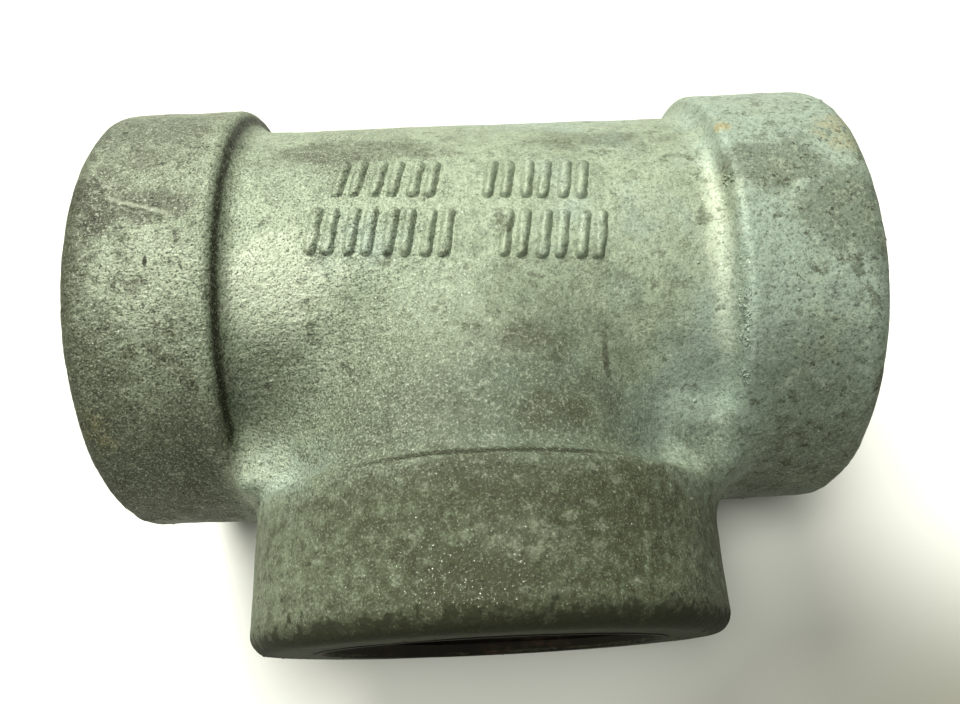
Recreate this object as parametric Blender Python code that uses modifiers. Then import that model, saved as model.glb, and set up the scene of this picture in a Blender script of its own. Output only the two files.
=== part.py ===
"""A female-threaded pipe tee, cast in one piece of malleable iron and galvanised.

Frame, in metres: the tee lies on its back on its three bands. X runs along the
run, the branch points to -Y and +Z is up. The origin is the middle of the
bounding box's bottom face.
"""
import math

import bmesh
import bpy
from mathutils import Matrix, Vector

MM = 0.001

# ---------------------------------------------------------------- driving sizes
CENTRE_TO_END = 49.3 * MM      # from the crossing of the axes to each face
BAND_RADIUS = 30.6 * MM        # outside of the thick band round each end
BAND_WIDTH = 18.0 * MM         # from the face to the top of the band's shoulder
SHOULDER_WIDTH = 3.0 * MM      # the slope from the band down to the barrel
BARREL_RADIUS = 27.6 * MM      # outside of the run between the bands
NECK_RADIUS = 27.1 * MM        # outside of the branch behind its band
FACE_CORNER = 2.6 * MM         # round on the outer corner of each face
WATERWAY_RADIUS = 21.8 * MM    # cored hollow behind the run's threads
SIDE_WAY_RADIUS = 21.3 * MM    # cored hollow behind the branch's thread

# 1 1/4 inch taper pipe thread, 11 1/2 threads to the inch
THREAD_PITCH = 25.4 / 11.5 * MM
THREAD_DEPTH = 0.8 * THREAD_PITCH
PITCH_RADIUS_AT_FACE = 1.5571 / 2 * 25.4 * MM
THREAD_LENGTH = 21.3 * MM
TAPER_PER_SIDE = 1 / 32        # change of radius for each unit of length
MOUTH_RADIUS = 21.8 * MM       # wide end of the 45 degree mouth chamfer
CORE_CLEARANCE = 0.15 * MM     # the core hole stays this much inside the thread

# metal that fills the corner between the branch and the run, one pad on each side
PAD_RADIUS = 12.0 * MM
PAD_HALF_HEIGHT = 17.0 * MM
PAD_REACH = 3.4 * MM           # how far the pad stands out of the corner

# raised foundry marks on top of the barrel: two rows of plain blocks
MARK_HEIGHT = 0.5 * MM
MARK_SIZE = (3.4 * MM, 6.4 * MM)
MARK_SPACING = 4.7 * MM
MARK_SINK = 1.5 * MM
MARK_ROUND = 0.6 * MM
MARK_ROWS = (
    # angle from the top of the barrel, first block's x, blocks drawn, blocks left out
    (10.5, -15.6 * MM, 7, (3,)),
    (-6.5, -18.8 * MM, 8, (4,)),
)

# ------------------------------------------------------------------- resolution
TURNED_STEPS = 48
THREAD_STEPS = 28
CORNER_STEPS = 4
PAD_STEPS = (20, 12)
OVERRUN = 1.5 * THREAD_PITCH   # cutters go this far past the metal they cut

# ----------------------------------------------------------------- derived sizes
AXIS_HEIGHT = BAND_RADIUS
RUN_AXIS_Y = (CENTRE_TO_END - BAND_RADIUS) / 2
CROSSING = Vector((0.0, RUN_AXIS_Y, AXIS_HEIGHT))
THREAD_END = CENTRE_TO_END - THREAD_LENGTH
NECK_ROOT = -3.0 * MM          # the neck and its hollow start this far behind the run's axis
PAD_OFFSET = BARREL_RADIUS - (PAD_RADIUS - PAD_REACH) / math.sqrt(2)

# turns that take a turned shape's own +Z to the direction that an end faces
TO_RIGHT = Matrix.Rotation(math.radians(90), 4, "Y")
TO_LEFT = Matrix.Rotation(math.radians(-90), 4, "Y")
TO_BRANCH = Matrix.Rotation(math.radians(90), 4, "X")


def clear_scene():
    """Remove every object, so the script starts from nothing."""
    for old in list(bpy.data.objects):
        bpy.data.objects.remove(old, do_unlink=True)


def new_collection(name):
    """Make a collection in the scene."""
    collection = bpy.data.collections.new(name)
    bpy.context.scene.collection.children.link(collection)
    return collection


def principled(name, colour, roughness, metallic):
    """Make a plain Principled material."""
    material = bpy.data.materials.new(name)
    material.use_nodes = True
    shader = material.node_tree.nodes["Principled BSDF"]
    shader.inputs["Base Color"].default_value = (*colour, 1.0)
    shader.inputs["Roughness"].default_value = roughness
    shader.inputs["Metallic"].default_value = metallic
    return material


def arc(centre, radius, start, end, steps):
    """Points (r, z) along an arc, angles in degrees from +r towards +z."""
    points = []
    for step in range(steps + 1):
        angle = math.radians(start + (end - start) * step / steps)
        points.append((centre[0] + radius * math.cos(angle), centre[1] + radius * math.sin(angle)))
    return points


def end_outline(inner_radius):
    """Outside of one end as (r, z), from its face down to the plain body behind the band."""
    face_round = arc((BAND_RADIUS - FACE_CORNER, CENTRE_TO_END - FACE_CORNER), FACE_CORNER, 90, 0, CORNER_STEPS)
    shoulder_top = CENTRE_TO_END - BAND_WIDTH
    drop = BAND_RADIUS - inner_radius
    shoulder = []
    for step in range(CORNER_STEPS + 1):
        part = step / CORNER_STEPS
        fall = part * part * (3 - 2 * part)
        shoulder.append((BAND_RADIUS - drop * fall, shoulder_top - SHOULDER_WIDTH * part))
    return face_round + shoulder


def mirrored(points):
    """The same outline at the other end, in top to bottom order."""
    return [(radius, -z) for radius, z in reversed(points)]


def turned(name, outline, collection):
    """Turn an outline of (r, z), listed top to bottom, about Z into a closed solid."""
    mesh = bpy.data.meshes.new(name)
    verts = [(radius, 0.0, z) for radius, z in outline]
    edges = [(index, index + 1) for index in range(len(verts) - 1)]
    mesh.from_pydata(verts, edges, [])
    solid = bpy.data.objects.new(name, mesh)
    collection.objects.link(solid)
    screw = solid.modifiers.new("turn", "SCREW")
    screw.axis = "Z"
    screw.steps = TURNED_STEPS
    screw.render_steps = TURNED_STEPS
    screw.use_merge_vertices = True
    screw.merge_threshold = 0.00001
    return solid


def place(solid, turn):
    """Turn a solid about the crossing of the axes."""
    solid.matrix_world = Matrix.Translation(CROSSING) @ turn
    return solid


def make_cutter(solid):
    """Mark a solid as a guide that only cuts or joins."""
    solid.hide_render = True
    solid.display_type = "WIRE"
    return solid


def run_body(collection):
    """The run: a barrel with a band at each end."""
    top = end_outline(BARREL_RADIUS)
    outline = [(0.0, CENTRE_TO_END)] + top + mirrored(top) + [(0.0, -CENTRE_TO_END)]
    return place(turned("tee_casting", outline, collection), TO_RIGHT)


def branch_body(collection):
    """The branch: a neck that starts inside the barrel, with a band at its end."""
    outline = [(0.0, CENTRE_TO_END)] + end_outline(NECK_RADIUS) + [(NECK_RADIUS, NECK_ROOT), (0.0, NECK_ROOT)]
    return make_cutter(place(turned("branch_body", outline, collection), TO_BRANCH))


def corner_pads(collection):
    """A rounded pad of metal in each corner between the branch and the run."""
    pads = bmesh.new()
    for side in (-1, 1):
        centre = Matrix.Translation((side * PAD_OFFSET, -PAD_OFFSET, 0.0))
        shape = Matrix.Diagonal((PAD_RADIUS, PAD_RADIUS, PAD_HALF_HEIGHT, 1.0))
        u_segments, v_segments = PAD_STEPS
        bmesh.ops.create_uvsphere(
            pads, u_segments=u_segments, v_segments=v_segments, radius=1.0, matrix=centre @ shape)
    mesh = bpy.data.meshes.new("corner_pads")
    pads.to_mesh(mesh)
    pads.free()
    solid = bpy.data.objects.new("corner_pads", mesh)
    collection.objects.link(solid)
    return make_cutter(place(solid, Matrix.Identity(4)))


def core_end(way_radius):
    """Inside of one end as (r, z): mouth chamfer, tapping hole, then the wide waterway."""
    past_face = CENTRE_TO_END + OVERRUN
    hole_at_face = PITCH_RADIUS_AT_FACE - THREAD_DEPTH / 2 - CORE_CLEARANCE
    hole_at_end = hole_at_face - THREAD_LENGTH * TAPER_PER_SIDE
    mouth_depth = (MOUTH_RADIUS - hole_at_face) / (1 - TAPER_PER_SIDE)
    hole_at_mouth = hole_at_face - mouth_depth * TAPER_PER_SIDE
    return [
        (MOUTH_RADIUS + OVERRUN, past_face),
        (hole_at_mouth, CENTRE_TO_END - mouth_depth),
        (hole_at_end, THREAD_END),
        (way_radius, THREAD_END - (way_radius - hole_at_end)),
    ]


def run_core(collection):
    """The hollow through the run."""
    half = core_end(WATERWAY_RADIUS)
    past_face = half[0][1]
    outline = [(0.0, past_face)] + half + mirrored(half) + [(0.0, -past_face)]
    return make_cutter(place(turned("run_core", outline, collection), TO_RIGHT))


def branch_core(collection):
    """The hollow from the branch's mouth to the middle of the run."""
    half = core_end(SIDE_WAY_RADIUS)
    outline = [(0.0, half[0][1])] + half + [(SIDE_WAY_RADIUS, NECK_ROOT), (0.0, NECK_ROOT)]
    return make_cutter(place(turned("branch_core", outline, collection), TO_BRANCH))


def thread_tap(name, turn, collection):
    """A right-hand taper tap: its teeth cut the thread of the end that it is turned to."""
    start = THREAD_END - OVERRUN - THREAD_PITCH
    turns = math.ceil((CENTRE_TO_END + OVERRUN - start) / THREAD_PITCH)
    count = turns * THREAD_STEPS
    tap = bmesh.new()
    crests, roots = [], []
    for index in range(count + 1):
        angle = 2 * math.pi * index / THREAD_STEPS
        crest_z = start + THREAD_PITCH * index / THREAD_STEPS
        root_z = crest_z + THREAD_PITCH / 2
        for z, side, line in ((crest_z, 1, crests), (root_z, -1, roots)):
            radius = PITCH_RADIUS_AT_FACE + (z - CENTRE_TO_END) * TAPER_PER_SIDE + side * THREAD_DEPTH / 2
            line.append(tap.verts.new((radius * math.cos(angle), radius * math.sin(angle), z)))
    for index in range(count):
        tap.faces.new((crests[index], crests[index + 1], roots[index + 1], roots[index]))
    for index in range(count - THREAD_STEPS):
        following = index + THREAD_STEPS
        tap.faces.new((roots[index], roots[index + 1], crests[following + 1], crests[following]))
    bottom_rim = crests[:THREAD_STEPS + 1] + [roots[0]]
    top_rim = roots[count - THREAD_STEPS:] + [crests[count]]
    for rim in (bottom_rim, top_rim):
        centre = tap.verts.new((0.0, 0.0, rim[0].co.z))
        for index, vert in enumerate(rim):
            tap.faces.new((centre, vert, rim[(index + 1) % len(rim)]))
    bmesh.ops.recalc_face_normals(tap, faces=tap.faces)
    mesh = bpy.data.meshes.new(name)
    tap.to_mesh(mesh)
    tap.free()
    solid = bpy.data.objects.new(name, mesh)
    collection.objects.link(solid)
    return make_cutter(place(solid, turn))


def foundry_marks(collection):
    """Two rows of plain raised blocks on top of the barrel, as one guide of separate bodies."""
    blocks = bmesh.new()
    for angle, first_x, count, gaps in MARK_ROWS:
        for index in range(count):
            if index in gaps:
                continue
            tilt = Matrix.Rotation(math.radians(-angle), 4, "X")
            middle = BARREL_RADIUS + (MARK_HEIGHT - MARK_SINK) / 2
            across = Matrix.Translation((first_x + index * MARK_SPACING, 0.0, 0.0))
            up = Matrix.Translation((0.0, 0.0, middle))
            scale = Matrix.Diagonal((*MARK_SIZE, MARK_HEIGHT + MARK_SINK, 1.0))
            bmesh.ops.create_cube(blocks, size=1.0, matrix=tilt @ across @ up @ scale)
    upright = [edge for edge in blocks.edges if abs((edge.verts[0].co - edge.verts[1].co).normalized().z) > 0.9]
    bmesh.ops.bevel(blocks, geom=upright, offset=MARK_ROUND, segments=1, profile=0.5, affect="EDGES")
    mesh = bpy.data.meshes.new("foundry_marks")
    blocks.to_mesh(mesh)
    blocks.free()
    solid = bpy.data.objects.new("foundry_marks", mesh)
    collection.objects.link(solid)
    return make_cutter(place(solid, Matrix.Identity(4)))


def combine(base, other, operation):
    """Join or cut one solid with another."""
    boolean = base.modifiers.new(f"{operation.lower()}_{other.name}", "BOOLEAN")
    boolean.operation = operation
    boolean.solver = "EXACT"
    boolean.object = other


def build_tee():
    """Model the tee."""
    parts = new_collection("pipe_tee")
    guides = new_collection("pipe_tee_cutters")
    casting = run_body(parts)
    combine(casting, branch_body(guides), "UNION")
    combine(casting, corner_pads(guides), "UNION")
    combine(casting, foundry_marks(guides), "UNION")
    combine(casting, run_core(guides), "DIFFERENCE")
    combine(casting, branch_core(guides), "DIFFERENCE")
    for name, turn in (("tap_right", TO_RIGHT), ("tap_left", TO_LEFT), ("tap_branch", TO_BRANCH)):
        combine(casting, thread_tap(name, turn, guides), "DIFFERENCE")
    casting.data.materials.append(principled("galvanised_iron", (0.33, 0.38, 0.29), 0.5, 0.55))


clear_scene()
build_tee()
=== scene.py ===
"""A galvanised malleable-iron pipe tee, lying on its back on a pale table.

The casting's skin is a distance field turned into a mesh, the three tapped
threads, the foundry marks, the zinc pimples and the shoulder flecks are made by
Geometry Nodes, and every finish is procedural. Lengths of the fitting are in
millimetres, measured from the crossing of the two pipe axes: x runs along the
run, y away from the branch's mouth and z up.
"""

import enum
import logging
import math
from dataclasses import dataclass
from typing import Any, Callable

import bmesh
import bpy
import numpy as np
from mathutils import Matrix, Vector, noise


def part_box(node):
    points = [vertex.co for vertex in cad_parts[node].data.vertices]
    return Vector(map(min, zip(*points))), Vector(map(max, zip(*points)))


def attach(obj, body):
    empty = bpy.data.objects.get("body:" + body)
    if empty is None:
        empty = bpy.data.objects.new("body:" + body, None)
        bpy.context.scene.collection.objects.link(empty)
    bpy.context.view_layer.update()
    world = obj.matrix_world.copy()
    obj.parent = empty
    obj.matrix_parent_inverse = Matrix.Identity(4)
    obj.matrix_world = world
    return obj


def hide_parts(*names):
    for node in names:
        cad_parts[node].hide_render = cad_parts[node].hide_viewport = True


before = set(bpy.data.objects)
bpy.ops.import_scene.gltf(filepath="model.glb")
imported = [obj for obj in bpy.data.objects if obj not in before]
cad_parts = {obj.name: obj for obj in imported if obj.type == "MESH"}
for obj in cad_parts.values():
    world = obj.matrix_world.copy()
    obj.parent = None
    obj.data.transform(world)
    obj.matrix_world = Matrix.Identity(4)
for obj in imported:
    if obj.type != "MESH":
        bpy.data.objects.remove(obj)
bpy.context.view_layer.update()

LOG = logging.getLogger("pipe_tee")
CASTING_NODE = "tee_casting"
BODY = "root"
MM = 0.001
SPOT_EDGE = (1.20, 0.55)
SPOT_RAGGEDNESS = 2.0
Array = np.ndarray
Material = bpy.types.Material
Piece = bpy.types.Object
Range = tuple[float, float]
Triple = tuple[float, float, float]


class Slot(enum.Enum):
    """Material slots of the record."""

    SKIN = "galvanised_skin"
    THREAD = "tapped_thread"


class End(enum.Enum):
    """The three open ends, each with the turn that takes +Z to its own direction."""

    RIGHT = ("run_right", (0.0, math.pi / 2, 0.0), (1.0, 0.0, 0.0))
    LEFT = ("run_left", (0.0, -math.pi / 2, 0.0), (-1.0, 0.0, 0.0))
    BRANCH = ("branch", (math.pi / 2, 0.0, 0.0), (0.0, -1.0, 0.0))

    @property
    def label(self) -> str:
        """Name used in piece names."""
        return self.value[0]

    @property
    def turn(self) -> Triple:
        """Euler angles that turn +Z to the end's direction."""
        return self.value[1]

    @property
    def direction(self) -> Vector:
        """Unit vector out of the end."""
        return Vector(self.value[2])


# --------------------------------------------------------------------------- node expressions


def _math(operation: str, swapped: bool = False) -> Callable[..., "Term"]:
    """Make a Term method from a Math node.

    Args:
        operation: The node's operation.
        swapped: Put the term after the other value.

    Returns:
        The method.
    """
    def method(self: "Term", *others: Any) -> "Term":
        """One Math node on this term and the others."""
        values = (*others, self) if swapped else (self, *others)
        return self.graph.node("ShaderNodeMath", {"operation": operation}, dict(enumerate(values)))

    return method


class Term:
    """An output socket that can be used in Python arithmetic."""

    def __init__(self, graph: "Graph", socket: bpy.types.NodeSocket) -> None:
        """Wrap an output socket of a graph."""
        self.graph = graph
        self.socket = socket

    __add__, __radd__ = _math("ADD"), _math("ADD", swapped=True)
    __sub__, __rsub__ = _math("SUBTRACT"), _math("SUBTRACT", swapped=True)
    __mul__, __rmul__ = _math("MULTIPLY"), _math("MULTIPLY", swapped=True)
    __truediv__, __pow__ = _math("DIVIDE"), _math("POWER")
    __gt__, __lt__ = _math("GREATER_THAN"), _math("LESS_THAN")
    at_least, at_most = _math("MAXIMUM"), _math("MINIMUM")
    __abs__, floor, fraction = _math("ABSOLUTE"), _math("FLOOR"), _math("FRACT")
    sin, cos, root = _math("SINE"), _math("COSINE"), _math("SQRT")

    def ramp(self, low: Any, high: Any) -> "Term":
        """Smooth step: 0 at low, 1 at high."""
        return self.graph.node(
            "ShaderNodeMapRange", {"interpolation_type": "SMOOTHSTEP"},
            {"Value": self, "From Min": low, "From Max": high, "To Min": 0.0, "To Max": 1.0})


class Graph:
    """Builds the nodes of one shader or geometry tree."""

    def __init__(self, tree: bpy.types.NodeTree) -> None:
        """Start on a tree."""
        self.tree = tree

    def raw(self, kind: str, settings: dict[str, Any] | None = None,
            sockets: dict[Any, Any] | None = None) -> bpy.types.Node:
        """Add a node, set it up and link it.

        Args:
            kind: The node's type.
            settings: Its own properties, set before its sockets.
            sockets: Values or terms by socket name or number.

        Returns:
            The new node.
        """
        made = self.tree.nodes.new(kind)
        for name, value in (settings or {}).items():
            setattr(made, name, value)
        for key, value in (sockets or {}).items():
            socket = made.inputs[key]
            if isinstance(value, Term):
                self.tree.links.new(value.socket, socket)
            else:
                socket.default_value = value
        return made

    def node(self, kind: str, settings: dict[str, Any] | None = None,
             sockets: dict[Any, Any] | None = None, output: Any = 0) -> Term:
        """Add a node as raw does, and return one of its outputs as a term."""
        return Term(self, self.raw(kind, settings, sockets).outputs[output])

    def split(self, vector: Term) -> tuple[Term, Term, Term]:
        """The three numbers of a vector."""
        parts = self.raw("ShaderNodeSeparateXYZ", {}, {0: vector})
        return tuple(Term(self, parts.outputs[axis]) for axis in range(3))

    def join(self, x: Any, y: Any, z: Any) -> Term:
        """A vector from three numbers."""
        return self.node("ShaderNodeCombineXYZ", {}, {0: x, 1: y, 2: z})

    def vector(self, operation: str, first: Any, second: Any) -> Term:
        """One Vector Math node on two vectors."""
        return self.node("ShaderNodeVectorMath", {"operation": operation}, {0: first, 1: second})

    def scaled(self, vector: Term, factor: Any) -> Term:
        """A vector times a number."""
        return self.node("ShaderNodeVectorMath", {"operation": "SCALE"}, {0: vector, "Scale": factor})

    def noise(self, place: Term, scale: float, detail: float = 2.0, roughness: float = 0.5,
              distortion: float = 0.0) -> Term:
        """Noise of 0 to 1: features per unit, octaves, weight of the finer ones and swirl."""
        return self.node("ShaderNodeTexNoise", {}, {
            "Vector": place, "Scale": scale, "Detail": detail, "Roughness": roughness,
            "Distortion": distortion})

    def mix(self, factor: Any, first: Any, second: Any) -> Term:
        """Blend two colours or terms: a factor of 0 gives the first, 1 the second."""
        first, second = (value if isinstance(value, Term) else (*value, 1.0) for value in (first, second))
        return self.node("ShaderNodeMix", {"data_type": "RGBA", "clamp_factor": True},
                         {0: factor, 6: first, 7: second}, 2)


def new_material(name: str) -> tuple[Material, Graph, bpy.types.Node]:
    """Make a material; gives it, a graph on its tree and its Principled shader."""
    material = bpy.data.materials.new(name)
    material.use_nodes = True
    return material, Graph(material.node_tree), material.node_tree.nodes["Principled BSDF"]


def feed(graph: Graph, shader: bpy.types.Node, **links: Term) -> None:
    """Link terms to a shader's sockets, named with underscores for spaces."""
    for name, term in links.items():
        graph.tree.links.new(term.socket, shader.inputs[name.replace("_", " ")])


def bumped(graph: Graph, height: Term, distance: float) -> Term:
    """The normal of a bump whose height is in units of distance, in metres."""
    return graph.node("ShaderNodeBump", {}, {"Strength": 1.0, "Distance": distance, "Height": height},
                      "Normal")


def from_crossing(graph: Graph, crossing: Vector) -> Term:
    """Position from the crossing of the pipe axes, in millimetres."""
    place = graph.node("ShaderNodeTexCoord", {}, {}, "Object")
    return graph.scaled(graph.vector("SUBTRACT", place, tuple(crossing)), 1 / MM)


def stored(graph: Graph, name: str) -> Term:
    """A number that was stored on the mesh."""
    return graph.node("ShaderNodeAttribute", {"attribute_name": name}, {}, "Fac")


# --------------------------------------------------------------------------- finishes


@dataclass(frozen=True)
class Spot:
    """A soft-edged place on the skin, in millimetres from the crossing."""

    centre: Triple
    reach: Triple
    amount: float

    def mask(self, graph: Graph, place: Term, ragged: Term) -> Term:
        """How much of the spot shows at each place.

        Args:
            graph: The material's graph.
            place: Position from the crossing, in millimetres.
            ragged: Noise that breaks the spot's edge.

        Returns:
            0 outside the spot, its amount in the middle.
        """
        away = graph.vector("DIVIDE", graph.vector("SUBTRACT", place, self.centre), self.reach)
        distance = graph.node("ShaderNodeVectorMath", {"operation": "LENGTH"}, {0: away}, "Value")
        return (distance + (ragged - 0.5) * SPOT_RAGGEDNESS).ramp(*SPOT_EDGE) * self.amount


def spots(*rows: tuple[float, ...]) -> tuple[Spot, ...]:
    """Spots from rows of three numbers for the centre, three for the reach and the amount."""
    return tuple(Spot(row[:3], row[3:6], row[6]) for row in rows)


@dataclass(frozen=True)
class Pattern:
    """Noise: features per millimetre, octaves, weight of the finer ones and a shift of its own."""

    scale: float
    detail: float
    roughness: float
    shift: Triple = (0.0, 0.0, 0.0)

    def read(self, graph: Graph, place: Term) -> Term:
        """The noise at a place, 0 to 1."""
        return graph.noise(graph.vector("ADD", place, self.shift), self.scale, self.detail, self.roughness)


@dataclass(frozen=True)
class GalvanisedFinish:
    """Dull hot-dip zinc over a sand-cast surface, stained where it has been handled, with painted shade and painted
    highlights in places.
    """

    name: str = "hot_dip_zinc"
    sheen: float = 0.25
    light_zinc: Triple = (0.258, 0.300, 0.212)
    dull_zinc: Triple = (0.195, 0.228, 0.158)
    cool_zinc: Triple = (0.246, 0.308, 0.256)
    band_zinc: Triple = (0.138, 0.158, 0.106)
    olive_zinc: Triple = (0.064, 0.075, 0.043)
    dark_speck: Triple = (0.037, 0.037, 0.026)
    bare_zinc_glint: Triple = (0.80, 0.84, 0.74)
    ash: Triple = (0.400, 0.440, 0.330)
    painted_shade_zinc: Triple = (0.074, 0.087, 0.058)
    iron_stain: Triple = (0.040, 0.043, 0.022)
    ochre: Triple = (0.266, 0.229, 0.111)
    crease_dirt_and_shade: Triple = (0.019, 0.020, 0.009)
    broad: Pattern = Pattern(0.055, 3.0, 0.6)
    mottle: Pattern = Pattern(0.24, 5.0, 0.66, (3.0, 8.0, 1.0))
    blotch: Pattern = Pattern(0.62, 4.0, 0.62, (41.0, 5.0, 9.0))
    pebble: Pattern = Pattern(2.0, 2.0, 0.55)
    grit: Pattern = Pattern(4.2, 2.0, 0.6, (7.0, 19.0, 2.0))
    specks: Pattern = Pattern(1.25, 2.0, 0.55, (2.0, 4.0, 77.0))
    lumps: Pattern = Pattern(0.30, 2.0, 0.5)
    wrinkle_stretch: Triple = (0.6, 1.1, 1.1)
    branch_border: Range = (0.58, 0.74)
    left_border: Range = (0.60, 0.72)
    right_border: Range = (0.60, 0.76)
    saddle_front: Range = (8.0, 26.0)
    saddle_side: Range = (26.0, 14.0)
    left_cheek: Range = (7.0, 22.0)
    shaded_underside: Range = (19.0, 29.0)
    coarse_border: Range = (2.0, -16.0)
    patchy: Range = (0.36, 0.62)
    cool_patch: Range = (0.46, 0.66)
    worn_patch: Range = (0.50, 0.66)
    stain_edge: Range = (0.30, 0.52)
    stain_spread: Range = (0.58, 0.68)
    ochre_edge: Range = (0.36, 0.56)
    dark_blotch: Range = (0.47, 0.34)
    branch_dark: Range = (0.53, 0.43)
    branch_pale: Range = (0.54, 0.64)
    pale_blotch: Range = (0.56, 0.68)
    speck_edge: Range = (0.625, 0.68)
    rim_edge: Range = (26.5, 29.0)
    crease_edge: Range = (0.30, 0.95)
    hollow_edge: Range = (0.2, 0.8)
    pebble_dark: Range = (0.48, 0.28)
    pebble_pale: Range = (0.54, 0.74)
    grit_dark: Range = (0.48, 0.30)
    grit_pale: Range = (0.53, 0.68)
    glint_edge: Range = (0.73, 0.77)
    scratch_from_centre: float = 40.0
    stains: tuple[Spot, ...] = spots(
        (-46.0, 1.0, 30.0, 5.0, 5.5, 8.0, 1.0),
        (-48.0, -8.0, 29.5, 3.0, 8.0, 8.0, 0.70),
        (-39.5, 0.5, 30.4, 6.5, 2.6, 6.0, 0.80),
        (-41.0, 8.0, 29.5, 6.0, 2.4, 6.0, 0.50),
        (-46.0, -18.0, 23.0, 5.0, 9.0, 9.0, 0.60),
        (-34.0, -24.0, 18.0, 4.0, 6.0, 7.0, 0.45),
        (36.5, 3.5, 30.0, 7.0, 4.5, 6.0, 0.58),
        (44.0, -4.0, 29.0, 6.0, 7.0, 7.0, 0.60),
        (40.0, -20.0, 23.0, 8.0, 6.0, 7.0, 0.40),
        (6.5, -17.5, 26.5, 5.0, 2.6, 5.0, 0.65),
        (8.0, -26.0, 26.0, 5.0, 2.5, 5.0, 0.55),
        (-14.0, 11.5, 25.0, 13.0, 3.0, 5.0, 0.60),
        (16.0, 12.5, 25.0, 10.0, 2.4, 5.0, 0.45),
        (-2.0, -44.5, 30.0, 7.0, 3.5, 5.0, 0.95),
        (14.0, -37.0, 27.0, 9.0, 5.0, 7.0, 0.60),
        (-1.0, -34.5, 30.3, 5.5, 3.0, 5.0, 0.75),
        (5.0, -38.0, 30.3, 6.0, 3.0, 5.0, 0.50),
    )
    ochres: tuple[Spot, ...] = spots(
        (47.0, 7.5, 29.0, 3.5, 4.5, 4.0, 0.50),
        (32.2, 10.6, 28.7, 1.3, 1.0, 1.5, 0.85),
        (-46.5, -24.0, 19.5, 2.5, 3.0, 4.0, 0.40),
    )
    # pale spots: worn pale zinc on the left pad, the branch and the left band, and two painted highlights
    pale_and_highlight_spots: tuple[Spot, ...] = spots(
        (-27.6, -25.5, 13.5, 5.0, 4.6, 6.5, 0.22),
        (3.0, -40.5, 30.0, 5.0, 2.5, 5.0, 0.20),
        # painted highlight on the barrel's left side, where the light falls
        (-24.0, -8.5, 26.0, 8.0, 7.0, 7.0, 0.80),
        # painted highlight on the right band's inner fillet, which faces the light
        (29.5, -6.0, 27.0, 1.8, 16.0, 9.0, 0.75),
        (-39.0, -8.5, 29.5, 7.0, 6.5, 7.0, 0.35),
    )
    nicks: tuple[Spot, ...] = spots(
        (-38.7, -6.7, 29.9, 0.28, 0.8, 2.0, 0.90),
        (14.8, -18.5, 23.0, 0.6, 3.2, 3.0, 0.55),
        (-28.5, -29.0, 9.0, 0.8, 0.7, 1.2, 0.90),
    )
    # painted shade: darker spots on the barrel, the left band, the saddle and the right pad
    painted_shades: tuple[Spot, ...] = spots(
        (-25.5, -19.0, 20.0, 7.0, 8.0, 9.0, 0.50),
        (2.0, -13.0, 27.0, 20.0, 8.0, 8.0, 0.30),
        (-21.0, 9.0, 26.5, 10.0, 6.0, 6.0, 0.22),
        (28.0, -27.5, 13.0, 5.5, 5.0, 7.0, 0.65),
        (-41.0, 15.0, 26.5, 9.0, 6.0, 7.0, 0.60),
        (4.0, -24.0, 27.0, 17.0, 6.0, 7.0, 0.45),
    )
    # places crowded with glints: the branch's middle and the left pad
    glinting: tuple[Spot, ...] = spots(
        (-3.5, -43.8, 30.0, 7.5, 3.6, 6.0, 1.0),
        (-27.6, -25.5, 11.5, 5.0, 5.0, 6.0, 0.8),
    )

    def build(self, crossing: Vector, half_run: float) -> Material:
        """Make the material.

        Args:
            crossing: Where the pipe axes cross, in metres.
            half_run: Centre-to-end length in millimetres.

        Returns:
            The material.
        """
        material, graph, shader = new_material(self.name)
        recipe = ZincRecipe(self, graph, crossing, half_run)
        recipe.lay_regions()
        recipe.lay_stains()
        recipe.lay_dirt()
        recipe.lay_grain()
        feed(graph, shader, Base_Color=recipe.colour, Roughness=recipe.roughness(),
             Metallic=recipe.metallic(), Normal=bumped(graph, recipe.height(), MM))
        shader.inputs["Specular IOR Level"].default_value = self.sheen
        return material


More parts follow.
